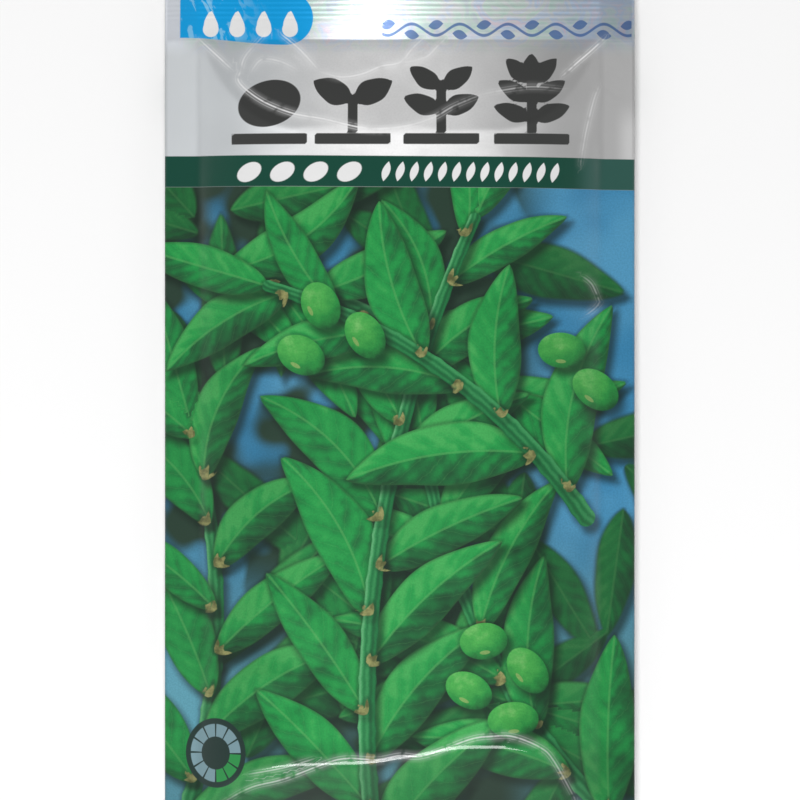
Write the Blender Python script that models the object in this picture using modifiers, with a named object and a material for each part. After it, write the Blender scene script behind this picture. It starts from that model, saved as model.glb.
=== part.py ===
"""A seed packet lying on its back, its top end towards +Y and its printed front towards +Z.

Two printed films are heat-sealed to each other along all four sides. Between the seals the packet is
puffed up with air, and dry beans for sowing lie loose on the back film inside. The origin is on the
surface that the packet rests on, under its middle. Metres.
"""

import math
import random

import bpy

# The packet's outline and its seals
WIDTH = 0.096
LENGTH = 0.172
SIDE_SEAL = 0.007
TOP_SEAL = 0.0106
BOTTOM_SEAL = 0.007

# The films, drawn a little thicker than real so that they are solids
FILM_THICKNESS = 0.0003
SEAL_GAP = 0.0003

# How far the packet is puffed up
THICKNESS = 0.012
SEAL_HEIGHT = 0.0050

# The swell's outline across and along the packet: a higher power is flatter on top
ACROSS_POWER, ALONG_POWER = 5.0, 10.0
TOP_SLOPE, BOTTOM_SLOPE = 0.36, 0.50  # the front film folds down to its two end seals at these slopes
FLAT_FROM = 0.80  # the back lies flat on the surface where the swell is more than this
LANDING_POWER = 1.6  # how softly the back film meets the surface

# The beans
BEAN_COUNT = 48
BEAN_LENGTH, BEAN_WIDTH, BEAN_HEIGHT = 0.0088, 0.0078, 0.0066
BEAN_SIZE_SPREAD = 0.05
BEAN_SPACING = 0.0096  # centre to centre, more than the longest bean
BEAN_CLEARANCE = 0.0003
BEAN_SEED = 7

# Mesh density
CELLS_ACROSS, CELLS_ALONG = 20, 34  # between the seals
BEAN_SEGMENTS, BEAN_RINGS = 10, 7

HALF_WIDTH, HALF_LENGTH = WIDTH / 2, LENGTH / 2
POUCH_HALF_WIDTH = HALF_WIDTH - SIDE_SEAL
POUCH_HALF_LENGTH = (LENGTH - TOP_SEAL - BOTTOM_SEAL) / 2
POUCH_MIDDLE = (BOTTOM_SEAL - TOP_SEAL) / 2
OUTER_FACE = SEAL_GAP / 2 + FILM_THICKNESS  # from the middle of a seal to either film's outer face


def clear_scene():
    for obj in list(bpy.data.objects):
        bpy.data.objects.remove(obj, do_unlink=True)


def make_collection(name):
    collection = bpy.data.collections.new(name)
    bpy.context.scene.collection.children.link(collection)
    return collection


def make_material(name, colour, roughness, metallic):
    material = bpy.data.materials.new(name)
    material.use_nodes = True
    shader = material.node_tree.nodes["Principled BSDF"]
    shader.inputs["Base Color"].default_value = (*colour, 1.0)
    shader.inputs["Roughness"].default_value = roughness
    shader.inputs["Metallic"].default_value = metallic
    return material


def adopt(obj, name, collection, material):
    """Name the active object, give it its material and move it into the packet's collection."""
    obj.name = obj.data.name = name
    obj.data.materials.append(material)
    for other in list(obj.users_collection):
        other.objects.unlink(obj)
    collection.objects.link(obj)
    return obj


def swell(x, y):
    """How far the packet is puffed up at a point: 0 on the seals and 1 in the middle."""
    across = min(1.0, abs(x) / POUCH_HALF_WIDTH) ** ACROSS_POWER
    along = min(1.0, abs(y - POUCH_MIDDLE) / POUCH_HALF_LENGTH) ** ALONG_POWER
    return (1 - across) * (1 - along)


def front_height(x, y):
    """Outer face of the front film: the swell, cut off by a slope towards each end."""
    rise = THICKNESS - SEAL_HEIGHT - OUTER_FACE
    from_top = max(0.0, POUCH_MIDDLE + POUCH_HALF_LENGTH - y)
    from_bottom = max(0.0, y - POUCH_MIDDLE + POUCH_HALF_LENGTH)
    slopes = min(TOP_SLOPE * from_top, BOTTOM_SLOPE * from_bottom)
    return SEAL_HEIGHT + OUTER_FACE + min(rise * swell(x, y), slopes)


def back_height(x, y):
    """Outer face of the back film, which comes down to the surface and lies flat on it."""
    drop = SEAL_HEIGHT - OUTER_FACE
    landed = min(1.0, swell(x, y) / FLAT_FROM)
    return drop * (1 - landed) ** LANDING_POWER


def grid_line(index, cells, half, pouch_half, middle):
    """Place of a grid line: one cell for each seal, and lines that crowd towards the seals between them."""
    if index == 0:
        return -half
    if index == cells + 2:
        return half
    share = 2 * (index - 1) / cells - 1
    return middle + pouch_half * math.sin(share * math.pi / 2)


def make_film(name, height, inward, collection, material):
    """One film: a grid raised to its height, thickened inwards. inward is 1 for up and -1 for down."""
    columns, rows = CELLS_ACROSS + 2, CELLS_ALONG + 2
    bpy.ops.mesh.primitive_grid_add(x_subdivisions=columns, y_subdivisions=rows, size=2)
    film = adopt(bpy.context.active_object, name, collection, material)
    for vertex in film.data.vertices:
        column = round((vertex.co.x + 1) / 2 * columns)
        row = round((vertex.co.y + 1) / 2 * rows)
        x = grid_line(column, CELLS_ACROSS, HALF_WIDTH, POUCH_HALF_WIDTH, 0.0)
        y = grid_line(row, CELLS_ALONG, HALF_LENGTH, POUCH_HALF_LENGTH, POUCH_MIDDLE)
        vertex.co = (x, y, height(x, y))
    film.data.shade_smooth()
    thicken = film.modifiers.new("film thickness", "SOLIDIFY")
    thicken.thickness = FILM_THICKNESS
    thicken.offset = inward
    thicken.use_even_offset = True
    return film


def has_room(x, y):
    """True where the back film is flat and the front film is high enough for a bean, all round it."""
    bean_top = FILM_THICKNESS + BEAN_HEIGHT * (1 + BEAN_SIZE_SPREAD) + 2 * BEAN_CLEARANCE
    reach = BEAN_LENGTH * (1 + BEAN_SIZE_SPREAD) / 2
    rim = [(x, y), (x - reach, y), (x + reach, y), (x, y - reach), (x, y + reach)]
    high = all(front_height(a, b) - 2 * FILM_THICKNESS > bean_top for a, b in rim)
    return high and all(swell(a, b) > FLAT_FROM for a, b in rim)


def bean_places(draw):
    """Where the beans lie: thrown at random, each kept if it is clear of those before it."""
    places = []
    while len(places) < BEAN_COUNT:
        x = draw.uniform(-POUCH_HALF_WIDTH, POUCH_HALF_WIDTH)
        y = draw.uniform(-POUCH_HALF_LENGTH, POUCH_HALF_LENGTH) + POUCH_MIDDLE
        clear = all(math.hypot(x - a, y - b) > BEAN_SPACING for a, b in places)
        if clear and has_room(x, y):
            places.append((x, y))
    return places


def make_beans(collection, material):
    """The beans, lying on their flatter side on the back film, each turned its own way."""
    draw = random.Random(BEAN_SEED)
    bean_mesh = None
    for number, (x, y) in enumerate(bean_places(draw), start=1):
        name = f"bean_{number:02d}"
        if bean_mesh is None:
            bpy.ops.mesh.primitive_uv_sphere_add(segments=BEAN_SEGMENTS, ring_count=BEAN_RINGS, radius=0.5)
            bean = adopt(bpy.context.active_object, name, collection, material)
            bean_mesh = bean.data
            bean_mesh.shade_smooth()
        else:
            bean = bpy.data.objects.new(name, bean_mesh)
            collection.objects.link(bean)
        size = 1 + draw.uniform(-BEAN_SIZE_SPREAD, BEAN_SIZE_SPREAD)
        bean.scale = (BEAN_LENGTH * size, BEAN_WIDTH * size, BEAN_HEIGHT * size)
        bean.rotation_euler = (0, 0, draw.uniform(0, math.pi))
        bean.location = (x, y, FILM_THICKNESS + BEAN_CLEARANCE + BEAN_HEIGHT * size / 2)


def main():
    clear_scene()
    packet = make_collection("seed_packet")
    front = make_material("printed front film", (0.16, 0.42, 0.20), 0.25, 0.1)
    back = make_material("back film", (0.78, 0.79, 0.79), 0.3, 0.3)
    bean = make_material("dry bean", (0.62, 0.60, 0.33), 0.55, 0.0)
    make_film("front_film", front_height, -1, packet, front)
    make_film("back_film", back_height, 1, packet, back)
    make_beans(packet, bean)


main()
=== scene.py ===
"""The looks of the seed packet: two printed films, puffed up with air and creased, and the beans inside.

The model is in metres. The print is laid out on the flat film, in millimetres from the packet's middle.
"""

import math
import random

import bpy
import numpy as np
from mathutils import Matrix, Vector, noise


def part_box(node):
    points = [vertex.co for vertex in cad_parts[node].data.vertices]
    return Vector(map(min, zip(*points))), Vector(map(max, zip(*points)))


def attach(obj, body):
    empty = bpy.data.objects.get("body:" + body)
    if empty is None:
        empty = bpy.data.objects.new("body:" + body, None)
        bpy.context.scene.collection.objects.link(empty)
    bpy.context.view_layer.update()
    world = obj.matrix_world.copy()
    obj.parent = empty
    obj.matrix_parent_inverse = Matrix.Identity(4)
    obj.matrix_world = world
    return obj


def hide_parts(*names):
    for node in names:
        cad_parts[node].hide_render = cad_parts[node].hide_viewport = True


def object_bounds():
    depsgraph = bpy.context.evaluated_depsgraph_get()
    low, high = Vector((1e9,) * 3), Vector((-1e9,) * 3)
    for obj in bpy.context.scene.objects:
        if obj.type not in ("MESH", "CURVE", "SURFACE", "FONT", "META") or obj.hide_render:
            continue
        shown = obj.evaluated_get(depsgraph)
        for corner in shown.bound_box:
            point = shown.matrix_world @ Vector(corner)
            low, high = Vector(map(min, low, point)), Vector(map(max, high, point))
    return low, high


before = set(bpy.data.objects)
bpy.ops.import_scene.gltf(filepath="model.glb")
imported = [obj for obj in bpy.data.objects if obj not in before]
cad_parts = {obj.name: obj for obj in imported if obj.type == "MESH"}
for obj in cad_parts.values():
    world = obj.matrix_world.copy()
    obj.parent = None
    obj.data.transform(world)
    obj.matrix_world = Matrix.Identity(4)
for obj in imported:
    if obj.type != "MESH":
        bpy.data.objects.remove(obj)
cad_low, cad_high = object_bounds()

MM = 0.001

# The pouch, as the CAD films have it, but for a bottom seal that starts just below the photograph
SIDE_SEAL, TOP_SEAL, BOTTOM_SEAL = 7.0, 10.6, 5.8
SEAL_HEIGHT = 5.0
ACROSS_POWER, ALONG_POWER = 5.0, 10.0
TOP_SLOPE = 0.36
FLAT_FROM, LANDING_POWER = 0.80, 1.6
FRONT_ALONG_POWER = 40.0  # the front is flatter, with a sharper fold at each end
FRONT_BOTTOM_SLOPE = 0.58  # at the right
STEEPER_LEFT, STEEPER_FROM, STEEPER_OVER = 0.24, 14.0, 26.0  # how much more it slopes from here to the left
FOLD = 0.35  # how round that fold is
HALF_WIDTH = cad_high.x / MM
HALF_LENGTH = cad_high.y / MM
THICKNESS = cad_high.z / MM
POUCH_HALF_WIDTH = HALF_WIDTH - SIDE_SEAL
POUCH_TOP, POUCH_BOTTOM = HALF_LENGTH - TOP_SEAL, BOTTOM_SEAL - HALF_LENGTH
POUCH_HALF_LENGTH = (POUCH_TOP - POUCH_BOTTOM) / 2
POUCH_MIDDLE = (POUCH_TOP + POUCH_BOTTOM) / 2

# The real film
FILM = 0.12
SEAL_AIR = 0.02  # between the two films at a seal

# The photograph: 800 px square, looking straight down
PIXELS = 800
PIXELS_PER_MM = 4.896
PHOTO_LEFT, PHOTO_TOP = -399.75 / PIXELS_PER_MM, 83.6


def from_photo(place):
    """A place in the photograph, as millimetres on the film."""
    return PHOTO_LEFT + place[0] / PIXELS_PER_MM, PHOTO_TOP - place[1] / PIXELS_PER_MM


# Shape of the films

COLUMNS = 160
CREASED_BELOW, CREASED_ABOVE = -60.0, 38.0  # the rows past these lie closer, for the creases
PICTURE_ROW, CREASED_ROW, SEAL_ROW = 0.8, 0.45, 0.25


def film_lines():
    """The film grid's places across and along the packet."""
    xs = np.linspace(-HALF_WIDTH, HALF_WIDTH, COLUMNS + 1)
    ends = (-HALF_LENGTH, POUCH_BOTTOM, CREASED_BELOW, CREASED_ABOVE, POUCH_TOP, HALF_LENGTH)
    spacing = (SEAL_ROW, CREASED_ROW, PICTURE_ROW, CREASED_ROW, SEAL_ROW)
    parts = [np.array([-HALF_LENGTH])]
    for low, high, row in zip(ends, ends[1:], spacing):
        parts.append(np.linspace(low, high, round((high - low) / row) + 1)[1:])
    return xs, np.concatenate(parts)


def swell(x, y, along_power=ALONG_POWER):
    """How far the packet is puffed up: 0 on the seals and 1 in the middle."""
    across = np.minimum(1, np.abs(x) / POUCH_HALF_WIDTH) ** ACROSS_POWER
    along = np.minimum(1, np.abs(y - POUCH_MIDDLE) / POUCH_HALF_LENGTH) ** along_power
    return (1 - across) * (1 - along)


def lower_of(a, b, fold):
    """The lower of two heights, with a rounded fold between them."""
    share = np.clip(0.5 + (b - a) / (2 * fold), 0, 1)
    return b * (1 - share) + a * share - fold * share * (1 - share) / 2


def front_base(x, y):
    """The swell, cut off by a slope towards each end seal."""
    seal = SEAL_HEIGHT + SEAL_AIR / 2 + FILM
    rise = (THICKNESS - seal) * swell(x, y, FRONT_ALONG_POWER)
    leftness = np.clip((STEEPER_FROM - x) / STEEPER_OVER, 0, 1)
    bottom_slope = FRONT_BOTTOM_SLOPE + STEEPER_LEFT * leftness**2 * (3 - 2 * leftness)
    slopes = np.minimum(TOP_SLOPE * (POUCH_TOP - y), bottom_slope * (y - POUCH_BOTTOM))
    fold = np.clip(np.minimum(rise, slopes), 0.02, FOLD)
    return seal + np.maximum(lower_of(rise, np.maximum(slopes, 0), fold), 0)


def back_base(x, y):
    seal = SEAL_HEIGHT - SEAL_AIR / 2 - FILM
    return seal * (1 - np.minimum(1, swell(x, y) / FLAT_FROM)) ** LANDING_POWER


def smooth_path(points, steps=8):
    """A smooth line through the points, as an array."""
    path = []
    padded = [points[0], *points, points[-1]]
    for a, b, c, d in zip(padded, padded[1:], padded[2:], padded[3:]):
        for t in np.arange(steps) / steps:
            near = [2 * b[i] + (c[i] - a[i]) * t for i in (0, 1)]
            bend = [(2 * a[i] - 5 * b[i] + 4 * c[i] - d[i]) * t * t for i in (0, 1)]
            far = [(3 * b[i] - a[i] - 3 * c[i] + d[i]) * t**3 for i in (0, 1)]
            path.append([(n + m + f) / 2 for n, m, f in zip(near, bend, far)])
    path.append(points[-1])
    return np.array(path)


def along_path(x, y, path):
    """Distance to the path, less than 0 on its right, and the share of the path at the nearest place."""
    nearest = np.full(x.shape, 1e3)
    share = np.zeros(x.shape)
    count = len(path) - 1
    for number, ((ax, ay), (bx, by)) in enumerate(zip(path, path[1:])):
        dx, dy = bx - ax, by - ay
        length = max(dx * dx + dy * dy, 1e-9)
        t = np.clip(((x - ax) * dx + (y - ay) * dy) / length, 0, 1)
        distance = np.hypot(x - ax - t * dx, y - ay - t * dy)
        closer = distance < np.abs(nearest)
        side = np.where(dx * (y - ay) - dy * (x - ax) < 0, -1, 1)
        nearest = np.where(closer, side * distance, nearest)
        share = np.where(closer, (number + t) / count, share)
    return nearest, share


# Creases that the photograph shows in the front film: their places in it, height and width in mm
CREASES = [
    ([(200, 40), (216, 55), (232, 70)], 0.35, 2.0),
    ([(281, 34), (300, 50), (317, 69)], 0.35, 2.0),
    ([(265, 34), (246, 56), (241, 72), (240, 84), (262, 102), (293, 115), (325, 121), (365, 130),
      (400, 129), (432, 120), (453, 108), (481, 96)], 0.50, 2.4),
    ([(252, 72), (262, 60), (280, 62), (297, 70)], 0.25, 1.6),
    ([(321, 73), (341, 78), (362, 75), (381, 67), (400, 63), (413, 48), (424, 38)], 0.45, 2.2),
    ([(400, 64), (425, 58), (436, 48), (446, 38)], 0.30, 1.8),
    ([(606, 37), (590, 52), (575, 65), (562, 77)], 0.40, 2.2),
    ([(599, 86), (593, 102), (585, 135), (580, 165)], 0.18, 2.0),
    ([(481, 96), (500, 92), (530, 88), (560, 90)], 0.20, 1.8),
    ([(225, 801), (252, 786), (285, 777), (338, 757), (376, 757), (400, 753), (424, 753), (469, 737),
      (489, 734), (512, 734), (539, 745), (553, 759), (575, 799)], 0.38, 2.0),
    ([(250, 772), (285, 765), (315, 756)], 0.25, 1.6),
    ([(583, 277), (592, 285), (600, 303)], 0.16, 2.0),
    ([(601, 302), (594, 309), (586, 315)], 0.14, 2.0),
]


def creases(x, y):
    """How high the creases raise the film, the distance to the nearest, and how strong it is there."""
    total, strength = np.zeros(x.shape), np.zeros(x.shape)
    nearest = np.full(x.shape, 1e3)
    for places, height, width in CREASES:
        path = smooth_path([from_photo(place) for place in places])
        distance, share = along_path(x, y, path)
        fade = np.sin(np.pi * np.clip(share, 0.02, 0.98)) ** 0.5
        total += height * fade * np.exp(-np.hypot(distance, 0.3) / width)
        closer = np.abs(distance) < np.abs(nearest)
        nearest = np.where(closer, distance, nearest)
        strength = np.where(closer, fade * min(1, height / 0.4), strength)
    return total, nearest, np.where(np.abs(nearest) < 1.6, strength, 0)


def crumple(x, y, size, seed):
    """Soft uneven waves about `size` mm across, between -1 and 1."""
    flat = [noise.noise(Vector((a / size, b / size, seed))) for a, b in zip(x.ravel(), y.ravel())]
    return np.array(flat).reshape(x.shape)


RIB_PITCH, RIB_HEIGHT = 1.0, 0.018
RIBBED_TOP, RIBBED_BOTTOM = 6.6, 5.0  # how far the ribs reach in from the packet's ends
LIFTED_X, LIFTED_HALF_WIDTH = -6.0, 13.0  # the part of the top seal that lifts most


def seal_relief(x, y):
    """What both films share at the seals: fine ribs, slow waves, a top end that lifts, sides that droop."""
    end = np.where(y > 0, HALF_LENGTH - y, HALF_LENGTH + y)
    reach = np.where(y > 0, RIBBED_TOP, RIBBED_BOTTOM)
    ribbed = np.clip((reach - end) / 0.5, 0, 1) * np.clip(end / 0.5, 0, 1)
    ribs = RIB_HEIGHT * ribbed * np.sin(2 * np.pi * y / RIB_PITCH)
    outside = (1 - swell(x, y)) ** 3
    waves = 0.35 * np.sin(x / 9.0 + 1.1) * (np.abs(y) / HALF_LENGTH) ** 12
    waves += 0.25 * np.sin(y / 13.0 + 0.6 + 1.7 * np.sign(x)) * (np.abs(x) / HALF_WIDTH) ** 8
    past_side = np.maximum(np.abs(x) - POUCH_HALF_WIDTH, 0)
    past_top = np.maximum(y - POUCH_TOP, 0)
    past_bottom = np.maximum(POUCH_BOTTOM - y, 0)
    lift = (0.01 + 0.18 * np.exp(-(((x - LIFTED_X) / LIFTED_HALF_WIDTH) ** 2))) * past_top
    droop = 0.16 * past_side - 0.06 * past_bottom + 0.02 * past_side * (past_top + past_bottom)
    return ribs + outside * waves + lift - droop


# Cloth simulation of a film held at its seals: a coarse sheet, ten times life size, that grows a
# little under the air's pressure, so that it puckers

SIM_COLUMNS, SIM_ROWS = 60, 108
SIM_SCALE = 0.01  # sheet units a mm
SIM_FRAMES = 36
CLOTH = {
    "quality": 6, "mass": 0.3, "air_damping": 4.0,
    "tension_stiffness": 25.0, "compression_stiffness": 25.0,
    "shear_stiffness": 10.0, "bending_stiffness": 4.0,
    "shrink_min": -0.001,  # less than 0, so it grows
    "use_pressure": True, "uniform_pressure_force": 2.0,
}
MOST_PUCKER = 0.7  # mm that a point may move
SMOOTHINGS = 40
CALM_TOP, CALM_BOTTOM, CALM_FADE = 19.0, 14.0, 8.0  # no puckers this near to the end seals


def sheet_object(name, points, faces_up):
    """A grid of points, as rows and columns, made an object."""
    index = np.arange(points.shape[0] * points.shape[1]).reshape(points.shape[:2])
    corners = (index[:-1, :-1], index[:-1, 1:], index[1:, 1:], index[1:, :-1])
    faces = np.stack(corners if faces_up else corners[::-1], -1).reshape(-1, 4)
    mesh = bpy.data.meshes.new(name)
    mesh.from_pydata(points.reshape(-1, 3).tolist(), [], faces.tolist())
    sheet = bpy.data.objects.new(name, mesh)
    bpy.context.scene.collection.objects.link(sheet)
    return sheet


def slow_part(values):
    """The values with their small waves smoothed out."""
    for step in range(SMOOTHINGS):
        padded = np.pad(values, ((1, 1), (1, 1), (0, 0)), "edge")
        beside = padded[:-2, 1:-1] + padded[2:, 1:-1] + padded[1:-1, :-2] + padded[1:-1, 2:]
        values = (beside + 4 * values) / 8
    return values


def puckers(base, faces_up, seed):
    """How a film held at its seals moves as it puckers, on the coarse grid, in mm."""
    xs = np.linspace(-HALF_WIDTH, HALF_WIDTH, SIM_COLUMNS + 1)
    ys = np.linspace(-HALF_LENGTH, HALF_LENGTH, SIM_ROWS + 1)
    x, y = np.meshgrid(xs, ys)
    start = np.stack([x, y, base(x, y)], -1)
    rough = start.copy()
    rough[..., 2] += 0.12 * crumple(x, y, 5.0, seed) * np.sqrt(swell(x, y))
    sheet = sheet_object("sheet to settle", rough * SIM_SCALE, faces_up)
    held = sheet.vertex_groups.new(name="sealed")
    sealed = (np.abs(x) > POUCH_HALF_WIDTH) | (y > POUCH_TOP) | (y < POUCH_BOTTOM)
    held.add(np.flatnonzero(sealed.ravel()).tolist(), 1.0, "REPLACE")
    cloth = sheet.modifiers.new("cloth", "CLOTH")
    for setting, value in CLOTH.items():
        setattr(cloth.settings, setting, value)
    cloth.settings.vertex_group_mass = held.name
    cloth.settings.effector_weights.gravity = 0.0
    cloth.collision_settings.use_collision = False
    cloth.point_cache.frame_start, cloth.point_cache.frame_end = 1, SIM_FRAMES
    scene = bpy.context.scene
    for number in range(1, SIM_FRAMES + 1):
        scene.frame_set(number)
    settled = sheet.evaluated_get(bpy.context.evaluated_depsgraph_get()).to_mesh()
    points = np.zeros(x.size * 3)
    settled.vertices.foreach_get("co", points)
    bpy.data.objects.remove(sheet, do_unlink=True)
    scene.frame_set(1)
    moved = points.reshape(start.shape) / SIM_SCALE - start
    moved -= slow_part(moved)
    from_end = np.minimum(POUCH_TOP - y - CALM_TOP, y - POUCH_BOTTOM - CALM_BOTTOM)
    moved *= np.clip(np.minimum(from_end / CALM_FADE, 4 * swell(x, y) - 0.4), 0, 1)[..., None]
    size = np.linalg.norm(moved, axis=-1, keepdims=True)
    return moved * np.minimum(1, MOST_PUCKER / np.maximum(size, 1e-6))


def between_points(values, x, y):
    """The coarse grid's values anywhere on the film, by a smooth cubic through its points."""
    total = np.zeros((*x.shape, values.shape[-1]))
    u = (x / HALF_WIDTH + 1) / 2 * SIM_COLUMNS
    v = (y / HALF_LENGTH + 1) / 2 * SIM_ROWS
    near_u = np.clip(np.floor(u).astype(int), 0, SIM_COLUMNS - 1)
    near_v = np.clip(np.floor(v).astype(int), 0, SIM_ROWS - 1)
    for row, row_weight in zip(range(-1, 3), cubic_weights(v - near_v)):
        for column, column_weight in zip(range(-1, 3), cubic_weights(u - near_u)):
            picked = values[np.clip(near_v + row, 0, SIM_ROWS), np.clip(near_u + column, 0, SIM_COLUMNS)]
            total += picked * (row_weight * column_weight)[..., None]
    return total


def cubic_weights(t):
    """Weights of the four points round a place that is t of the way from the second to the third."""
    return (
        (-t + 2 * t**2 - t**3) / 2,
        (2 - 5 * t**2 + 3 * t**3) / 2,
        (t + 4 * t**2 - 3 * t**3) / 2,
        (t**3 - t**2) / 2,
    )


SEAM_PUCKER = 0.85  # mm
PRESSED = 0.75  # how much of what rises above the packet's thickness is pressed down


def seam_puckers(x, y):
    """Small folds that run in from the side seals and die away."""
    inwards = POUCH_HALF_WIDTH - np.abs(x)
    fade = np.clip(inwards / 1.5, 0, 1) * np.exp(-np.maximum(inwards, 0) / 7.5)
    fade = fade * np.clip((POUCH_HALF_LENGTH - np.abs(y - POUCH_MIDDLE)) / 20, 0, 1)
    along = y + 0.25 * np.sign(x) * inwards
    waves = crumple(along, 12.0 * np.sign(x), 9.0, 11.0)
    return SEAM_PUCKER * fade * waves


def slack(x, y):
    """The front's slow waves, calmer in the header and at the bottom, and small ones in the header."""
    waves = 0.36 * crumple(x, y, 15.0, 3.0) + 0.12 * crumple(x, y, 6.5, 8.0) - 0.16
    calm = np.clip((42 - y) / 14, 0.3, 1) * np.clip((y - CREASED_BELOW) / 10 + 1, 0.3, 1)
    small = 0.15 * np.clip((y - 46) / 6, 0, 1) * crumple(x, y, 7.5, 5.0)
    return swell(x, y) ** 0.6 * (calm * waves + small)


def front_shape(x, y):
    points = np.stack([x, y, front_base(x, y)], -1)
    points += between_points(puckers(front_base, True, 3.0), x, y)
    points[..., 2] += seal_relief(x, y) + creases(x, y)[0]
    points[..., 2] += seam_puckers(x, y) + slack(x, y)
    points[..., 2] -= PRESSED * np.maximum(points[..., 2] - (THICKNESS - 0.2), 0)
    return points


def back_shape(x, y):
    points = np.stack([x, y, back_base(x, y)], -1)
    points += between_points(puckers(back_base, False, 5.0), x, y)
    points[..., 2] = np.maximum(points[..., 2] + seal_relief(x, y), 0)
    return points


# The print, as signed distances and leaf coordinates on the film

FAR = 30.0  # the distance where no mark is near
LIGHT_FROM = (-0.55, 0.84)  # the picture's own light, from its upper left
SHADOW_SHIFT = (0.9, -1.3)
BLUNT = 0.74  # a leaf's outline: less is blunter
STEM_WIDTH, TAPER = 3.8, 0.35


class Layer:
    """One layer of the print. Each point of the film holds a place along and across the mark nearest
    to it, how much the mark's left side faces the light, and the distance to its edge, less than 0
    inside it."""

    def __init__(self, x, y):
        self.x, self.y = x, y
        self.values = np.zeros((x.size, 4), np.float32)
        self.values[:, 3] = FAR

    def local(self, start, angle):
        dx, dy = self.x - start[0], self.y - start[1]
        turn = math.radians(angle)
        return dx * math.cos(turn) + dy * math.sin(turn), dy * math.cos(turn) - dx * math.sin(turn)

    def keep(self, along, across, angle, distance):
        turn = math.radians(angle)
        light = 0.5 + 0.5 * (math.cos(turn) * LIGHT_FROM[1] - math.sin(turn) * LIGHT_FROM[0])
        closer = distance < self.values[:, 3]
        self.values[closer] = np.stack(np.broadcast_arrays(along, across, light, distance), -1)[closer]

    def bowed(self, start, angle, length, bend):
        """The share of the way along a bowed mark, the same kept within it, and the place across it."""
        along, across = self.local(start, angle)
        share = along / length
        within = np.clip(share, 0, 1)
        return share, within, across - bend * 4 * within * (1 - within)

    def blade(self, start, angle, length, width, bend=0.0, widest=0.44):
        """A leaf from its base at `start`, its midrib bowed sideways by `bend`."""
        share, within, across = self.bowed(start, angle, length, bend)
        power = math.log(0.5) / math.log(widest)
        half = width / 2 * np.sin(np.pi * within**power) ** BLUNT
        half = half * (1 + 0.04 * np.sin(11 * within + length + 2 * np.sign(across)))
        beyond = np.abs(share - within) * length
        self.keep(share, across, angle, np.hypot(beyond, np.abs(across)) - half)

    def strip(self, start, angle, length, width, bend, knots):
        """A stem from its base at `start`, a little thinner at its tip, thicker at its knots."""
        share, within, across = self.bowed(start, angle, length, bend)
        half = width / 2 * (1 - TAPER * within)
        half = half * (1 + 0.13 * np.clip(np.cos(2 * np.pi * (knots * within - 0.3)), 0, 1) ** 6)
        beyond = np.abs(share - within) * length
        self.keep(share, across / half, angle, np.hypot(beyond, np.abs(across)) - half)

    def oval(self, centre, angle, length, width):
        along, across = self.local(centre, angle)
        a, b = along / (length / 2), across / (width / 2)
        distance = (np.hypot(a, b) - 1) * min(length, width) / 2
        self.keep(a, b, angle, distance)

    def box(self, centre, width, height):
        dx = np.abs(self.x - centre[0]) - width / 2
        dy = np.abs(self.y - centre[1]) - height / 2
        distance = np.hypot(np.maximum(dx, 0), np.maximum(dy, 0)) + np.minimum(np.maximum(dx, dy), 0)
        self.keep(dx, dy, 0, distance)


def stem_place(start, angle, length, bend, share):
    """A place on a bowed stem, and the stem's direction there."""
    turn = math.radians(angle)
    along, across = length * share, bend * 4 * share * (1 - share)
    slope = math.degrees(math.atan2(bend * 4 * (1 - 2 * share), length))
    x = start[0] + along * math.cos(turn) - across * math.sin(turn)
    y = start[1] + along * math.sin(turn) + across * math.cos(turn)
    return (x, y), angle + slope


def add_spray(layers, draw, start, angle, length, bend, pairs, leaf):
    """A stem with leaves on both sides by turns, one at its tip, and brown scales where they grow.
    Neighbours on one side are in different layers."""
    layers["stem"].strip(start, angle, length, STEM_WIDTH, bend, 2 * pairs)
    for number in range(2 * pairs):
        share = (number + 0.6) / (2 * pairs)
        place, heading = stem_place(start, angle, length, bend, share)
        side = 1 if number % 2 else -1
        size = leaf * (1.08 - 0.25 * share) * draw.uniform(0.9, 1.12)
        splay = side * draw.uniform(30, 58)
        bow = -side * draw.uniform(0.02, 0.12) * size
        leaves = layers["near" if number % 4 < 2 else "further"]
        leaves.blade(place, heading + splay, size, size * draw.uniform(0.27, 0.35), bow)
        for turn in (-34, 6, 40):
            scale = (draw.uniform(2.2, 3.6), draw.uniform(0.7, 1.1))
            layers["buds"].blade(place, heading + splay + turn, *scale)
    place, heading = stem_place(start, angle, length, bend, 1.0)
    layers["near"].blade(place, heading, leaf * 0.85, leaf * 0.26)


# Each spray: where it starts, its direction in degrees, length, bow, pairs of leaves, leaf length,
# and whether its stem lies over its leaves
SPRAYS = [
    ((-46, -90), 88, 88, -7, 5, 33, False),
    ((48, -88), 118, 92, 8, 4, 35, False),
    ((-52, 30), -20, 78, 6, 4, 33, False),
    ((-4, -98), 82, 138, 10, 7, 35, True),
    ((38, -22), 144, 80, -7, 4, 34, True),
]
SPRAY_SEED = 21
BEAN_PLACES = ((17, -47), (26, -53), (14, -57), (23, -63), (-16, 21), (-7, 15), (-20, 11), (33, 12), (40, 4))


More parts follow.
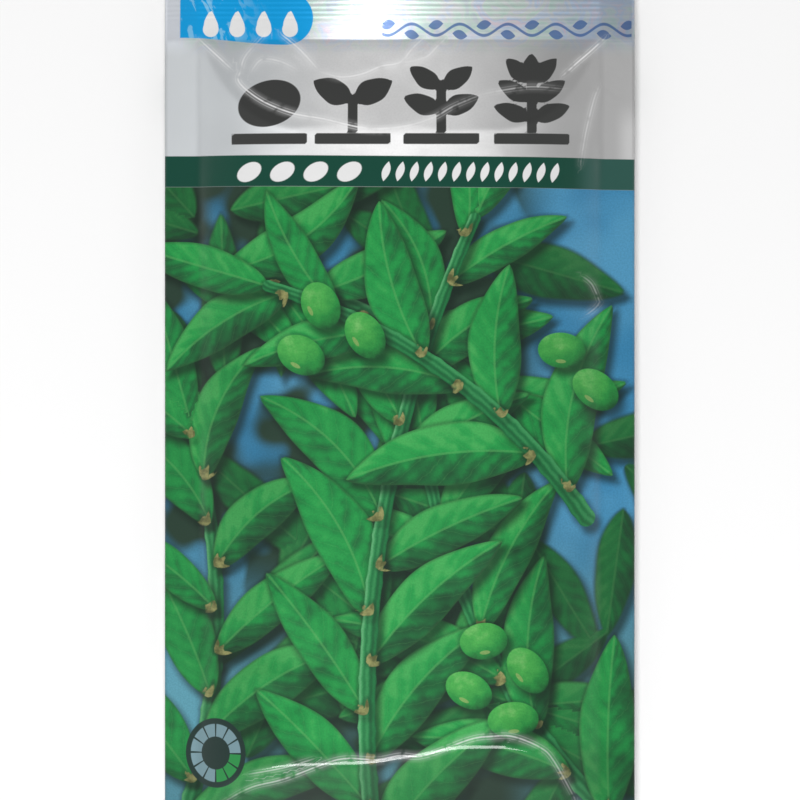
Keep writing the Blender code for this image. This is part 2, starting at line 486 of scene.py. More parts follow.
def picture_layers(x, y):
    """The picture's layers, from the furthest to the nearest."""
    draw = random.Random(SPRAY_SEED)
    layers = {}
    for number, count in ((1, 34), (2, 26)):
        layer = layers[f"deep_{number}"] = Layer(x, y)
        for step in range(count):
            place = (draw.uniform(-54, 50), draw.uniform(-94, 46))
            angle, length, width = draw.uniform(0, 360), draw.uniform(26, 38), draw.uniform(8, 11)
            if place[0] < 20 or place[1] < 0:  # the sky stays open at the upper right
                layer.blade(place, angle, length, width)
    for number, form in enumerate(SPRAYS, start=1):
        spray = {kind: Layer(x, y) for kind in ("further", "near", "stem", "buds")}
        add_spray(spray, draw, *form[:-1])
        layers.update({f"{kind}_{number}": layer for kind, layer in spray.items()})
    beans = layers["beans"] = Layer(x, y)
    for centre in BEAN_PLACES:
        beans.oval(centre, draw.uniform(-75, 15), draw.uniform(9.6, 10.8), draw.uniform(6.9, 7.6))
    return layers


# The four growth stages on the header: the middle of each, and the ground line below them
STAGE_PLACES = [from_photo((pixel, 0))[0] for pixel in (270, 353, 441, 531)]
STAGE_BOTTOM = 53.8


def charcoal_marks(x, y):
    """Seed, sprout, young plant and leafy plant."""
    marks = Layer(x, y)
    for middle in STAGE_PLACES:
        marks.box((middle, STAGE_BOTTOM + 1.1), 15.4, 2.2)
    seed, sprout, young, grown = STAGE_PLACES
    ground = STAGE_BOTTOM + 2.2
    marks.oval((seed, ground + 6.2), 18, 13.0, 9.4)
    for middle, height in ((sprout, 8.0), (young, 11.0), (grown, 13.0)):
        marks.box((middle, ground + height / 2), 2.0, height)
    for side, angle in ((1, 28), (-1, 152)):
        marks.blade((sprout + side * 0.4, ground + 6.8), angle, 8.6, 5.2)
        marks.blade((young + side * 0.4, ground + 4.6), angle - side * 6, 7.8, 4.2)
        marks.blade((young + side * 0.4, ground + 9.4), angle + side * 8, 7.4, 4.0)
        for height, length, tilt in ((3.0, 7.8, -8), (6.8, 7.6, 4), (10.6, 6.8, 18)):
            marks.blade((grown + side * 0.4, ground + height), angle + side * tilt, length, 3.7)
    marks.blade((grown, ground + 11.0), 90, 5.6, 3.6)
    return marks


def white_marks(x, y):
    """Four drops on the tab and four seeds on the band."""
    marks = Layer(x, y)
    for middle in (-38.6, -33.2, -27.8, -22.4):
        marks.oval((middle, 77.6), 0, 3.2, 3.2)
        marks.blade((middle, 76.3), 90, 5.2, 3.0, widest=0.3)
    for middle in (-30.6, -23.8, -17.0, -10.2):
        marks.oval((middle, 48.2), 30, 5.4, 3.5)
    return marks


# Node wiring


class Wiring:
    """Adds nodes to a material or world and links them. A value is a number, a colour or an output."""

    def __init__(self, owner, shader="Principled BSDF"):
        self.tree = owner.node_tree
        self.shader = self.tree.nodes[shader]

    def node(self, kind, **settings):
        node = self.tree.nodes.new(kind)
        for name, value in settings.items():
            setattr(node, name, value)
        return node

    def put(self, socket, value):
        if isinstance(value, bpy.types.NodeSocket):
            self.tree.links.new(value, socket)
        else:
            socket.default_value = value

    def set(self, name, value):
        self.put(self.shader.inputs[name], value)

    def math(self, operation, *values):
        node = self.node("ShaderNodeMath", operation=operation)
        for socket, value in zip(node.inputs, values):
            self.put(socket, value)
        return node.outputs[0]

    def add(self, *values):
        return self.fold("ADD", values)

    def times(self, *values):
        return self.fold("MULTIPLY", values)

    def fold(self, operation, values):
        total = values[0]
        for value in values[1:]:
            total = self.math(operation, total, value)
        return total

    def minus(self, a, b):
        return self.math("SUBTRACT", a, b)

    def over(self, a, b):
        return self.math("DIVIDE", a, b)

    def larger(self, a, b):
        return self.math("MAXIMUM", a, b)

    def absolute(self, value):
        return self.math("ABSOLUTE", value)

    def step(self, value, low, high, most=1.0):
        """0 where the value is at `low`, `most` where it is at `high`, and smooth between."""
        node = self.node("ShaderNodeMapRange", interpolation_type="SMOOTHSTEP")
        for socket, number in zip(node.inputs, (value, low, high, 0.0, most)):
            self.put(socket, number)
        return node.outputs[0]

    def mix(self, share, a, b):
        node = self.node("ShaderNodeMix", data_type="RGBA")
        for name, value in (("Factor_Float", share), ("A_Color", a), ("B_Color", b)):
            socket = next(s for s in node.inputs if s.identifier == name)
            self.put(socket, value)
        return next(s for s in node.outputs if s.identifier == "Result_Color")

    def vector(self, x, y):
        node = self.node("ShaderNodeCombineXYZ")
        self.put(node.inputs[0], x)
        self.put(node.inputs[1], y)
        return node.outputs[0]

    def split(self, vector):
        """The vector's x, y and z."""
        node = self.node("ShaderNodeSeparateXYZ")
        self.put(node.inputs[0], vector)
        return tuple(node.outputs)

    def film_place(self):
        """The place on the flat film in mm, whole and as its x and y."""
        scale = self.node("ShaderNodeVectorMath", operation="SCALE")
        self.put(scale.inputs[0], self.node("ShaderNodeUVMap", uv_map="film").outputs[0])
        self.put(scale.inputs["Scale"], 1 / MM)
        return scale.outputs[0], *self.split(scale.outputs[0])[:2]

    def value(self, name):
        """A number that the film holds at each point."""
        return self.node("ShaderNodeAttribute", attribute_name=name).outputs["Fac"]

    def attribute(self, name):
        """A print layer's along, across, light and distance."""
        node = self.node("ShaderNodeAttribute", attribute_name=name)
        return *self.split(node.outputs["Vector"]), node.outputs["Alpha"]

    def noise(self, vector, scale, detail=3.0, distortion=0.0):
        node = self.node("ShaderNodeTexNoise")
        self.put(node.inputs["Vector"], vector)
        for name, value in (("Scale", scale), ("Detail", detail), ("Distortion", distortion)):
            node.inputs[name].default_value = value
        return node.outputs["Fac"]

    def object_noise(self, scale, detail):
        """Noise that goes with the object, its scale to a metre."""
        return self.noise(self.node("ShaderNodeTexCoord").outputs["Object"], scale, detail)

    def ramp(self, value, stops):
        node = self.node("ShaderNodeValToRGB")
        while len(node.color_ramp.elements) < len(stops):
            node.color_ramp.elements.new(0.5)
        for element, (place, colour) in zip(node.color_ramp.elements, stops):
            element.position, element.color = place, colour
        self.put(node.inputs["Fac"], value)
        return node.outputs["Color"]


def rgb(red, green, blue):
    """A screen colour, 0 to 255, as Blender's linear colour."""
    parts = [channel / 255 for channel in (red, green, blue)]
    linear = [p / 12.92 if p <= 0.04045 else ((p + 0.055) / 1.055) ** 2.4 for p in parts]
    return (*linear, 1.0)


def grey(level):
    return (level, level, level, 1.0)


def new_material(name):
    material = bpy.data.materials.new(name)
    material.use_nodes = True
    return material, Wiring(material)


# The picture's drawing

EDGE = 0.10  # half the width of a printed edge

# From dark to light
LEAF_TONES = [
    (0.08, rgb(26, 74, 44)), (0.34, rgb(28, 106, 56)), (0.60, rgb(30, 146, 70)),
    (0.80, rgb(40, 158, 76)), (0.98, rgb(68, 172, 88)),
]
STEM_TONES = [
    (0.10, rgb(20, 70, 42)), (0.45, rgb(30, 116, 64)),
    (0.75, rgb(62, 150, 90)), (0.95, rgb(112, 182, 128)),
]
BEAN_TONES = [
    (0.10, rgb(26, 80, 44)), (0.45, rgb(40, 140, 64)),
    (0.75, rgb(74, 170, 78)), (0.98, rgb(128, 196, 112)),
]
# Painted reflection: the top seal's coloured sheen, as colours of its base
PAINTED_SHEEN_TONES = [
    (0.30, rgb(170, 186, 200)), (0.42, rgb(176, 212, 196)), (0.50, rgb(200, 204, 208)),
    (0.58, rgb(168, 196, 226)), (0.68, rgb(212, 190, 206)), (0.78, rgb(196, 204, 204)),
]
VEIN_COLOUR = rgb(96, 178, 100)


def past(w, value, edge):
    """1 where the value is more than `edge`, and 0 where it is less."""
    return w.step(value, edge - EDGE, edge + EDGE)


def short_of(w, value, edge):
    return w.step(value, edge + EDGE, edge - EDGE)


def between(w, value, low, high):
    return w.times(past(w, value, low), short_of(w, value, high))


def inside(w, distance):
    return short_of(w, distance, 0.0)


def cast_shadow(w, ground, name, reach, depth):
    """Darkens what lies behind a mark: down and to the right of it, and close round it."""
    distance = w.attribute(name)[3]
    soft = w.step(w.value(name + "_shadow"), reach, -0.8, depth)
    close = w.step(distance, 0.9, 0.0, 0.40)
    return w.mix(w.larger(soft, close), ground, rgb(16, 34, 26))


def square(w, value):
    return w.times(value, value)


def centred(w, value):
    """A value from 0 to 1, made to run from -1 to 1."""
    return w.minus(w.times(value, 2.0), 1.0)


def from_half(w, value):
    """How far the value is from the middle between two whole numbers."""
    return w.absolute(w.minus(w.math("FRACT", value), 0.5))


def draw_leaves(w, ground, name, far, mottle, cloudy):
    """Leaves folded along their midribs and rounded, lit from the upper left. `far` is 0 for near."""
    along, across, light, distance = w.attribute(name)
    half = w.larger(w.minus(w.absolute(across), distance), 0.2)
    side = w.over(across, half)
    lean = centred(w, light)
    fold = centred(w, w.step(across, -0.5, 0.5))
    lit = w.times(lean, w.add(w.times(fold, 0.30), w.times(side, 0.60)))
    uneven = w.add(w.times(w.minus(mottle, 0.5), 0.32), w.times(w.minus(cloudy, 0.5), 0.9))
    slant = w.add(w.times(along, 8.0), w.times(w.absolute(side), -1.5), w.times(mottle, 0.5))
    vein = from_half(w, slant)
    swelling = w.times(w.minus(w.step(vein, 0.5, 0.0), 0.5), 0.16)
    shade = w.add(0.60, w.times(lit, 0.50), uneven, swelling, w.step(along, 0.22, 0.0, -0.12))
    leaf = w.ramp(shade, LEAF_TONES)
    leaf = w.mix(w.step(vein, 0.455, 0.5, 0.13), leaf, VEIN_COLOUR)
    leaf = w.mix(w.step(w.absolute(across), 0.36, 0.08, 0.40), leaf, VEIN_COLOUR)
    leaf = w.mix(w.step(distance, -0.7, 0.0, 0.50), leaf, rgb(44, 84, 48))
    leaf = w.mix(0.62 * far, leaf, rgb(24, 50, 36))
    cover = w.step(distance, EDGE + 0.35 * far, -EDGE - 0.35 * far)
    return w.mix(cover, cast_shadow(w, ground, name, 1.6, 0.80), leaf)


def draw_stem(w, ground, name, mottle):
    across, light, distance = w.attribute(name)[1:]
    lean = centred(w, light)
    ridges = w.math("SINE", w.add(w.times(across, 8.0), w.times(mottle, 3.0)))
    shade = w.add(0.5, w.times(lean, across, 0.42), w.times(ridges, 0.13))
    stem = w.ramp(shade, STEM_TONES)
    return w.mix(inside(w, distance), cast_shadow(w, ground, name, 1.4, 0.75), stem)


def draw_buds(w, ground, name, mottle):
    bud = w.mix(w.step(mottle, 0.35, 0.65), rgb(88, 92, 54), rgb(150, 150, 96))
    return w.mix(inside(w, w.attribute(name)[3]), cast_shadow(w, ground, name, 0.8, 0.45), bud)


def draw_beans(w, ground, mottle):
    along, across, light, distance = w.attribute("beans")
    facing = centred(w, light)
    away = w.math("SQRT", w.larger(w.minus(1.0, square(w, facing)), 0.0))
    lit = w.minus(w.times(across, facing), w.times(along, away))
    edge = w.add(square(w, along), square(w, across))
    shade = w.add(0.70, w.times(lit, 0.34), w.times(edge, -0.26), w.times(w.minus(mottle, 0.5), 0.5))
    bean = w.ramp(shade, BEAN_TONES)
    eye = w.add(square(w, w.over(along, 0.22)), square(w, w.over(w.add(across, 0.62), 0.11)))
    bean = w.mix(w.step(eye, 1.2, 0.7, 0.65), bean, rgb(150, 176, 104))
    return w.mix(inside(w, distance), cast_shadow(w, ground, "beans", 1.6, 0.80), bean)


def draw_picture(w, place, x, y):
    soft = w.noise(place, 0.05, 2.0)
    cloudy = w.noise(place, 0.16, 2.0)
    mottle = w.noise(place, 0.5, 4.0)
    grain = w.noise(place, 2.8, 2.0)
    patch = w.noise(place, 0.075, 1.0)
    sky = w.mix(w.step(soft, 0.35, 0.65), rgb(56, 132, 176), rgb(84, 156, 196))
    low_sky = w.mix(w.step(x, -10.0, 20.0), rgb(92, 154, 172), rgb(80, 132, 142))
    sky = w.mix(w.step(y, -16.0, -60.0), sky, low_sky)
    open_side = w.larger(w.step(x, 20.0, 34.0), w.times(w.step(x, -18.0, -34.0), w.step(y, -28.0, -50.0)))
    open_sky = w.larger(open_side, w.step(patch, 0.46, 0.60, 0.8))
    ground = w.mix(open_sky, rgb(38, 60, 48), sky)
    for name, far in (("deep_1", 1.0), ("deep_2", 0.62)):
        ground = draw_leaves(w, ground, name, far, mottle, cloudy)
    for number, spray in enumerate(SPRAYS, start=1):
        far = 0.25 * (1 - number / len(SPRAYS))
        if not spray[-1]:
            ground = draw_stem(w, ground, f"stem_{number}", mottle)
        ground = draw_leaves(w, ground, f"further_{number}", far + 0.1, mottle, cloudy)
        ground = draw_leaves(w, ground, f"near_{number}", far, mottle, cloudy)
        if spray[-1]:
            ground = draw_stem(w, ground, f"stem_{number}", mottle)
        ground = draw_buds(w, ground, f"buds_{number}", mottle)
    ground = draw_beans(w, ground, mottle)
    ground = w.mix(w.step(grain, 0.30, 0.70, 0.16), ground, rgb(20, 60, 36))
    # Painted shade: the picture darker towards the bottom, where the film slopes down to the bottom seal.
    return w.mix(w.step(y, -66.0, -72.0, 0.28), ground, rgb(4, 30, 18))


# The header's drawing

BAND_LOW, BAND_HIGH = 45.1, 51.4
BAND_TILT = -0.0068
TAB_LEFT, TAB_END, TAB_MIDDLE, TAB_ROUND = -44.9, -23.2, 79.9, 5.5  # a tab with a round right end
TAB_RISE = 1.5  # how much higher its lower edge is on the left
VINE_LEFT, VINE_RIGHT, VINE_HEIGHT, VINE_WAVE = -3.6, 47.4, 77.5, 0.64
GRAIN_LEFT, GRAIN_RIGHT, GRAIN_PITCH = -4.2, 33.0, 2.86
DIAL_X, DIAL_Y, DIAL_HALF_WIDTH, DIAL_HALF_HEIGHT = -37.5, -70.0, 6.2, 7.1
DIAL_PARTS = 12


def tab_mask(w, x, y):
    """The blue tab, round at its right end and run off the packet's top edge on the left of it."""
    beyond = w.larger(w.minus(x, TAB_END), 0.0)
    below = w.larger(w.minus(TAB_MIDDLE, y), 0.0)
    above = w.times(w.larger(w.minus(y, TAB_MIDDLE), 0.0), w.step(x, TAB_END - 1.0, TAB_END))
    lift = w.step(x, TAB_END, TAB_LEFT, TAB_RISE)
    out = w.add(w.math("SQRT", w.add(square(w, beyond), square(w, w.add(below, above)))), lift)
    return w.times(short_of(w, out, TAB_ROUND), past(w, x, TAB_LEFT))


def vine_mask(w, x, y):
    """A wavy line with a small leaf in each bend."""
    sine = w.math("SINE", w.times(x, VINE_WAVE))
    off = w.absolute(w.minus(w.minus(y, VINE_HEIGHT), w.times(sine, 1.15)))
    line = w.step(off, 0.42, 0.20)
    cell = w.minus(w.math("FRACT", w.times(x, VINE_WAVE / math.pi)), 0.5)
    rise = w.times(w.minus(y, VINE_HEIGHT), w.math("SIGN", sine))
    leaf_y = w.add(rise, 1.0, w.times(cell, 0.9))
    leaf_half = w.minus(0.95, w.times(square(w, w.times(cell, 3.0)), 1.1))
    leaf = w.step(w.minus(w.absolute(leaf_y), leaf_half), 0.09, -0.09)
    return w.times(w.larger(line, leaf), between(w, x, VINE_LEFT, VINE_RIGHT))


def grain_mask(w, x, y, middle):
    """A row of slanted white grains on the band."""
    lift = w.minus(y, middle)
    slanted = w.minus(w.minus(x, GRAIN_LEFT), w.times(lift, 0.28))
    cell = w.times(w.minus(w.math("FRACT", w.over(slanted, GRAIN_PITCH)), 0.5), GRAIN_PITCH)
    half = w.minus(0.82, w.times(square(w, w.times(lift, 0.5)), 0.82))
    grain = w.step(w.minus(w.absolute(cell), half), 0.09, -0.09)
    return w.times(grain, between(w, slanted, 0.0, GRAIN_RIGHT - GRAIN_LEFT))


def draw_dial(w, ground, x, y):
    """A round sowing calendar: twelve parts, three of them green."""
    dx = w.over(w.minus(x, DIAL_X), DIAL_HALF_WIDTH)
    dy = w.over(w.minus(y, DIAL_Y), DIAL_HALF_HEIGHT)
    radius = w.math("SQRT", w.add(square(w, dx), square(w, dy)))
    turn = w.times(w.add(w.math("ARCTAN2", dx, dy), math.pi), DIAL_PARTS / (2 * math.pi))
    part = from_half(w, turn)
    ring = w.times(w.step(radius, 0.46, 0.49), w.step(radius, 0.85, 0.82), w.step(part, 0.46, 0.41))
    green = w.times(w.step(turn, 8.95, 9.05), w.step(turn, 12.05, 11.95))
    face = w.mix(ring, rgb(30, 52, 47), w.mix(green, rgb(120, 150, 158), rgb(44, 140, 72)))
    return w.mix(w.step(radius, 1.015, 0.985), ground, face)


def silver_with_painted_light(w, place, x, y):
    """The header's bare silver, with painted shade that makes it duller towards the sides, and the top
    seal's, with a painted coloured sheen.
    """
    silver = w.mix(w.step(w.noise(place, 0.09, 4.0), 0.35, 0.65), grey(0.89), grey(0.99))
    silver = w.mix(w.step(w.noise(place, 2.4, 2.0), 0.35, 0.70, 0.10), silver, grey(0.55))
    # Painted shade: darker towards the left, darker still towards the right, and a little lighter again at
    # the right edge low in the header.
    silver = w.mix(w.step(x, -8.0, -38.0), silver, (0.67, 0.70, 0.72, 1.0))
    silver = w.mix(w.step(x, 8.0, 34.0), silver, grey(0.50))
    silver = w.mix(w.times(w.step(x, 43.5, 47.0), w.step(y, 64.0, 56.0)), silver, grey(0.66))
    # Painted reflection: the top seal's coloured sheen and streaks, bluer and darker at the right and paler
    # at the left.
    painted_sheen = w.ramp(w.noise(place, 0.16, 4.0, 1.6), PAINTED_SHEEN_TONES)
    sheen_streaks = w.vector(w.times(x, 0.03), w.times(y, 1.6))
    painted_sheen = w.mix(w.step(w.noise(sheen_streaks, 1.0, 3.0), 0.40, 0.66, 0.35), painted_sheen, grey(0.86))
    painted_sheen = w.mix(w.step(x, 26.0, 38.0, 0.45), painted_sheen, rgb(140, 164, 190))
    painted_sheen = w.mix(w.step(x, -41.0, -46.5), painted_sheen, (0.88, 0.92, 1.0, 1.0))
    return w.mix(w.step(y, 71.5, 77.5, 0.75), silver, painted_sheen)


def tab_ink_and_reflections(w, x, y):
    """The tab's blue, with paler painted reflections in waves towards its left."""
    waves = w.vector(w.add(w.times(x, 0.30), w.times(y, 0.10)), w.times(y, 0.16))
    # Painted reflection: pale waves of light over the tab's left part.
    painted_reflection = w.step(w.noise(waves, 1.0, 3.0, 1.8), 0.50, 0.58)
    return w.mix(w.times(painted_reflection, w.step(x, -26.0, -38.0), 0.62), rgb(4, 158, 224), rgb(150, 208, 238))


def painted_crease_glints(w, place):
    """Painted glints on the creases, how white each shows: its line, a thinner line beside it and a soft
    painted glow, all broken up.
    """
    crease = w.absolute(w.value("crease"))
    second = w.absolute(w.minus(crease, 0.55))
    lines = w.larger(w.step(crease, 0.24, 0.06), w.step(second, 0.16, 0.04, 0.45))
    painted_glow = w.step(crease, 1.7, 0.0, 0.26)
    broken = w.step(w.noise(place, 0.45, 2.0), 0.26, 0.50)
    return w.times(w.larger(lines, painted_glow), w.value("crease_strength"), broken)


def front_print(w, place, x, y):
    """Colour, how much ink and how strong the painted crease glints are, over the front film."""
    band_y = w.minus(y, w.times(x, BAND_TILT))
    tab = tab_mask(w, x, y)
    colour = w.mix(tab, silver_with_painted_light(w, place, x, y), tab_ink_and_reflections(w, x, y))
    colour = w.mix(w.times(vine_mask(w, x, y), 0.85), colour, rgb(70, 108, 166))
    charcoal = inside(w, w.attribute("charcoal")[3])
    colour = w.mix(charcoal, colour, rgb(60, 61, 60))
    picture = short_of(w, band_y, BAND_LOW)
    colour = w.mix(picture, colour, draw_picture(w, place, x, y))
    band = between(w, band_y, BAND_LOW, BAND_HIGH)
    # Painted reflection: the band paler and greyer at its right end.
    band_ink_and_haze = w.mix(w.step(x, 35.0, 39.0, 0.75), rgb(8, 70, 55), rgb(50, 92, 84))
    colour = w.mix(band, colour, band_ink_and_haze)
    grains = grain_mask(w, x, band_y, (BAND_LOW + BAND_HIGH) / 2)
    white = w.larger(inside(w, w.attribute("white")[3]), w.times(grains, band))
    colour = w.mix(white, colour, grey(0.82))
    colour = draw_dial(w, colour, x, y)
    # Painted glints and highlights along the creases, fainter over the picture
    crease_glint = painted_crease_glints(w, place)
    colour = w.mix(w.times(crease_glint, w.minus(0.9, w.times(picture, 0.25))), colour, grey(0.95))
    inked = w.larger(w.larger(picture, band), w.larger(tab, charcoal))
    return colour, w.larger(inked, white), crease_glint


def glaze(w, place):
    """The film's clear outer layer, its fine unevenness far too low to see but for its glints."""
    bump = w.node("ShaderNodeBump")
    bump.inputs["Strength"].default_value = 0.35
    bump.inputs["Distance"].default_value = 0.00004
    w.put(bump.inputs["Height"], w.noise(place, 0.8, 3.0))
    for name in ("Normal", "Coat Normal"):
        w.set(name, bump.outputs["Normal"])
    w.set("Specular IOR Level", 0.15)
    w.set("Coat Weight", 0.8)
    w.set("Coat Roughness", 0.05)


def front_material():
    material, w = new_material("printed front film")
    place, x, y = w.film_place()
    colour, inked, crease_glint = front_print(w, place, x, y)
    w.set("Base Color", colour)
    bare = w.minus(0.55, w.times(inked, 0.39))
    # No metal under the painted crease glints, so that they show white
    w.set("Metallic", w.times(bare, w.minus(1.0, crease_glint)))
    rough = w.add(0.47, w.times(w.noise(place, 0.3, 3.0), 0.08))
    w.set("Roughness", w.minus(rough, w.step(y, POUCH_TOP - 3.0, POUCH_TOP + 2.0, 0.10)))
    glaze(w, place)
    return material


def silver_material():
    material, w = new_material("silver inside of the film")
    cloudy = w.object_noise(60.0, 3.0)
    w.set("Base Color", w.mix(cloudy, grey(0.62), grey(0.74)))
    w.set("Roughness", w.add(0.28, w.times(cloudy, 0.12)))
    w.set("Metallic", 0.9)
    return material


PAGE_HALF = 36.0  # half the width of the back's printed part
TABLE_LOW, TABLE_HIGH, TABLE_ROWS, TABLE_MONTHS = 34.0, 55.0, 3, 12
TABLE_BARS = [  # row from below, first and last month, colour
    (2, 3.0, 6.0, rgb(42, 132, 74)),
    (1, 4.5, 8.0, rgb(62, 138, 188)),
    (0, 6.5, 9.5, rgb(214, 168, 62)),
]
SOIL_LOW, SOIL_HIGH, AIR_HIGH = 10.0, 20.0, 28.0
SOWING_DEPTH_Y = 15.0
PANEL_LOW, PANEL_HIGH = -76.0, -61.0


def block(w, x, y, left, right, low, high):
    return w.times(between(w, x, left, right), between(w, y, low, high))


def ruled(w, value, low, pitch, half):
    """Thin lines at every `pitch` from `low`."""
    off = w.times(from_half(w, w.add(w.over(w.minus(value, low), pitch), 0.5)), pitch)
    return w.step(off, half + 0.06, half - 0.06)


def draw_table(w, ground, x, y):
    """A sowing calendar: twelve months, and three bars for sowing, growing and picking."""
    month = 2 * PAGE_HALF / TABLE_MONTHS
    row = (TABLE_HIGH - TABLE_LOW) / TABLE_ROWS
    page = block(w, x, y, -PAGE_HALF - 0.15, PAGE_HALF + 0.15, TABLE_LOW - 0.15, TABLE_HIGH + 0.15)
    lines = w.larger(ruled(w, x, -PAGE_HALF, month, 0.12), ruled(w, y, TABLE_LOW, row, 0.12))
    ground = w.mix(page, ground, rgb(232, 238, 232))
    ground = w.mix(w.times(page, lines), ground, rgb(120, 132, 126))
    for level, first, last, colour in TABLE_BARS:
        middle = TABLE_LOW + (level + 0.5) * row
        bar = block(w, x, y, first * month - PAGE_HALF, last * month - PAGE_HALF, middle - 1.5, middle + 1.5)
        ground = w.mix(bar, ground, colour)
    return ground


def draw_depth(w, ground, x, y):
    """How deep and how far apart the seeds go: soil, seeds in it, and a measure beside them."""
    picture = w.mix(block(w, x, y, -PAGE_HALF, PAGE_HALF, SOIL_LOW, AIR_HIGH), ground, rgb(216, 232, 240))
    picture = w.mix(block(w, x, y, -PAGE_HALF, PAGE_HALF, SOIL_LOW, SOIL_HIGH), picture, rgb(134, 104, 78))
    for middle in (-24.0, -8.0, 8.0, 24.0):
        seed_x = w.over(w.minus(x, middle), 2.4)
        seed_y = w.over(w.minus(y, SOWING_DEPTH_Y), 1.7)
        seed = w.step(w.add(square(w, seed_x), square(w, seed_y)), 1.08, 0.92)
        picture = w.mix(seed, picture, rgb(214, 206, 140))
        measure = block(w, x, y, middle + 3.6, middle + 4.0, SOWING_DEPTH_Y, SOIL_HIGH)
        picture = w.mix(measure, picture, grey(0.8))
        for level in (SOWING_DEPTH_Y, SOIL_HIGH):
            end = block(w, x, y, middle + 3.0, middle + 4.6, level - 0.2, level + 0.2)
            picture = w.mix(end, picture, grey(0.8))
    return picture


def draw_paragraphs(w, ground, x, y):
    """Two columns of plain grey bars where a packet has its sowing notes."""
    pitch = 2.7
    row = w.math("FLOOR", w.over(y, pitch))
    lines = ruled(w, y, pitch / 2, pitch, 0.42)
    for column, (left, right) in enumerate(((-PAGE_HALF, -2.5), (2.5, PAGE_HALF))):
        chance = w.node("ShaderNodeTexWhiteNoise", noise_dimensions="1D")
        w.put(chance.inputs["W"], w.add(row, 0.5 + 40.0 * column))
        length = w.add(0.62, w.step(chance.outputs["Value"], 0.0, 0.45, 0.38))
        end = w.add(left, w.times(length, right - left))
        bars = w.times(lines, past(w, w.minus(end, x), 0.0), past(w, x, left), between(w, y, -56.5, 2.5))
        ground = w.mix(bars, ground, rgb(112, 122, 118))
    return ground


def back_print(w, place, x, y):
    """The back's print, read from behind: band, calendar, sowing depth, notes and a bare panel."""
    colour = w.mix(w.noise(place, 0.05, 3.0), grey(0.66), grey(0.74))
    colour = w.mix(between(w, y, 60.5, 68.0), colour, rgb(27, 78, 63))
    colour = w.mix(block(w, x, y, -PAGE_HALF, PAGE_HALF, 63.8, 64.7), colour, grey(0.8))
    colour = draw_table(w, colour, x, y)
    colour = draw_depth(w, colour, x, y)
    colour = draw_paragraphs(w, colour, x, y)
    for rim, ink in ((0.0, rgb(44, 140, 72)), (0.6, rgb(236, 240, 236))):
        panel = block(w, x, y, rim - PAGE_HALF, PAGE_HALF - rim, PANEL_LOW + rim, PANEL_HIGH - rim)
        colour = w.mix(panel, colour, ink)
    return colour


def back_material():
    material, w = new_material("printed back film")
    place, x, y = w.film_place()
    w.set("Base Color", back_print(w, place, w.times(x, -1.0), y))
    w.set("Roughness", w.add(0.42, w.times(w.noise(place, 0.3, 3.0), 0.10)))
    glaze(w, place)
    w.set("Metallic", 0.2)
    return material


# Films


def apply_modifier(obj, modifier):
    with bpy.context.temp_override(object=obj, active_object=obj):
        bpy.ops.object.modifier_apply(modifier=modifier.name)


def make_film(name, shape, faces_up, layers, materials, node):
    xs, ys = film_lines()
    x, y = np.meshgrid(xs, ys)
    film = sheet_object(name, shape(x, y) * MM, faces_up)
    mesh = film.data
    uv = mesh.uv_layers.new(name="film")
    loops = np.zeros(len(mesh.loops), np.int32)
    mesh.loops.foreach_get("vertex_index", loops)
    flat = np.stack([x.ravel(), y.ravel()], -1) * MM
    uv.data.foreach_set("uv", flat[loops].astype(np.float32).ravel())
    for layer_name, layer in layers(x.ravel(), y.ravel()).items():
        if isinstance(layer, Layer):
            attribute = mesh.attributes.new(layer_name, "FLOAT_COLOR", "POINT")
            attribute.data.foreach_set("color", layer.values.ravel())
        else:
            attribute = mesh.attributes.new(layer_name, "FLOAT", "POINT")
            attribute.data.foreach_set("value", layer)
    mesh.shade_smooth()
    for material in materials:
        mesh.materials.append(material)
    thicken = film.modifiers.new("film thickness", "SOLIDIFY")
    thicken.thickness = FILM * MM
    thicken.offset = -1
    thicken.material_offset = 1
    apply_modifier(film, thicken)
    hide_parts(node)
    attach(film, "root")
    return film


def front_layers(x, y):
    layers = picture_layers(x, y)
    shadows = picture_layers(x - SHADOW_SHIFT[0], y - SHADOW_SHIFT[1])
    layers.update({name + "_shadow": layer.values[:, 3] for name, layer in shadows.items()})
    layers["crease"], layers["crease_strength"] = creases(x, y)[1:]
    layers["charcoal"] = charcoal_marks(x, y)
    layers["white"] = white_marks(x, y)
    return layers


def no_layers(x, y):
    return {}


# Beans


def bean_material():
    material, w = new_material("dry bean coat")
    cloudy = w.object_noise(240.0, 4.0)
    w.set("Base Color", w.mix(cloudy, rgb(206, 204, 150), rgb(178, 182, 118)))
    w.set("Roughness", w.add(0.42, w.times(cloudy, 0.15)))
    return material


def make_beans():
    material = bean_material()
    names = sorted(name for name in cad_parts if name.startswith("bean_"))
    for name in names:
        low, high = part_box(name)
        points = np.array([v.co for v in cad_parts[name].data.vertices])
        centre = (low + high) / 2
        flat = points[:, :2] - np.array(centre)[:2]
        axes = np.linalg.eigh(flat.T @ flat)[1]
        turn = math.atan2(axes[1, 1], axes[0, 1])
        along = flat @ axes[:, 1]
        across = flat @ axes[:, 0]
        bpy.ops.mesh.primitive_uv_sphere_add(segments=28, ring_count=18, radius=0.5)
        bean = bpy.context.active_object
        bean.name = bean.data.name = name + "_seed"
        for vertex in bean.data.vertices:
            dent = math.exp(-((vertex.co.x / 0.16) ** 2) - ((vertex.co.y - 0.5) / 0.10) ** 2)
            vertex.co.y -= 0.05 * dent
        bean.data.shade_smooth()
        bean.data.materials.append(material)
        bean.scale = (np.ptp(along), np.ptp(across), high.z - low.z)
        bean.rotation_euler = (0, 0, turn)
        bean.location = centre
        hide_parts(name)
        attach(bean, "root")


# Stage


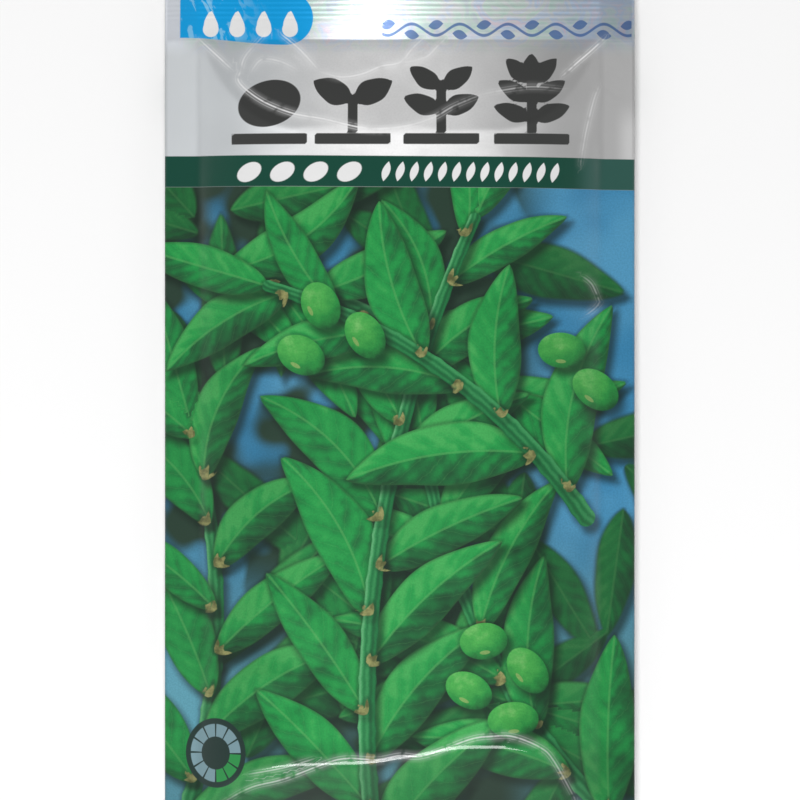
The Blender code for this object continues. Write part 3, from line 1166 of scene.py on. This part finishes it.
def make_floor():
    bpy.ops.mesh.primitive_grid_add(x_subdivisions=8, y_subdivisions=8, size=4.0)
    floor = bpy.context.active_object
    floor.name = "floor"
    material, w = new_material("pale floor")
    cloudy = w.object_noise(3.0, 2.0)
    w.set("Base Color", w.mix(cloudy, grey(0.96), grey(0.99)))
    w.set("Roughness", 0.9)
    floor.data.materials.append(material)


def make_light(name, place, size, power):
    data = bpy.data.lights.new(name, "AREA")
    data.shape = "RECTANGLE"
    data.size, data.size_y = size
    data.energy = power
    lamp = bpy.data.objects.new(name, data)
    lamp.location = place
    aim = (-Vector(place)).normalized()
    side = aim.cross(Vector((0, 1, 0))).normalized()
    lamp.rotation_euler = Matrix((side, side.cross(aim), -aim)).transposed().to_euler()
    bpy.context.scene.collection.objects.link(lamp)


ZENITH_LIGHT, HORIZON_LIGHT = 0.10, 0.80


def make_room():
    """A soft room, pale all round and darker overhead, where the camera is."""
    world = bpy.data.worlds.new("soft room")
    bpy.context.scene.world = world
    world.use_nodes = True
    w = Wiring(world, "Background")
    height = w.split(w.node("ShaderNodeTexCoord").outputs["Generated"])[2]
    fade = w.node("ShaderNodeMapRange")
    for name, value in (("Value", height), ("To Min", HORIZON_LIGHT), ("To Max", ZENITH_LIGHT)):
        w.put(fade.inputs[name], value)
    w.set("Color", grey(1.0))
    w.set("Strength", fade.outputs["Result"])


def make_stage():
    make_floor()
    make_light("softbox overhead", (-0.10, -0.58, 1.13), (0.55, 0.60), 13.4)
    make_room()
    bpy.context.scene.view_settings.view_transform = "Standard"


LENS = 200.0
SENSOR = 36.0


def make_camera():
    """Straight above, so far away that its frame takes in what the photograph shows."""
    data = bpy.data.cameras.new("camera")
    data.lens, data.sensor_width = LENS, SENSOR
    frame_size = PIXELS / PIXELS_PER_MM * MM
    distance = frame_size / 2 / (SENSOR / 2 / LENS)
    data.clip_start, data.clip_end = 0.01, 10.0
    camera = bpy.data.objects.new("camera", data)
    bpy.context.scene.collection.objects.link(camera)
    centre_x, centre_y = from_photo((PIXELS / 2, PIXELS / 2))
    camera.location = (centre_x * MM, centre_y * MM, SEAL_HEIGHT * MM + distance)
    bpy.context.scene.camera = camera


def main():
    silver = silver_material()
    front = (front_material(), silver)
    back = (back_material(), silver)
    make_film("front_film_print", front_shape, True, front_layers, front, "front_film")
    make_film("back_film_print", back_shape, False, no_layers, back, "back_film")
    make_beans()
    make_stage()
    make_camera()


main()
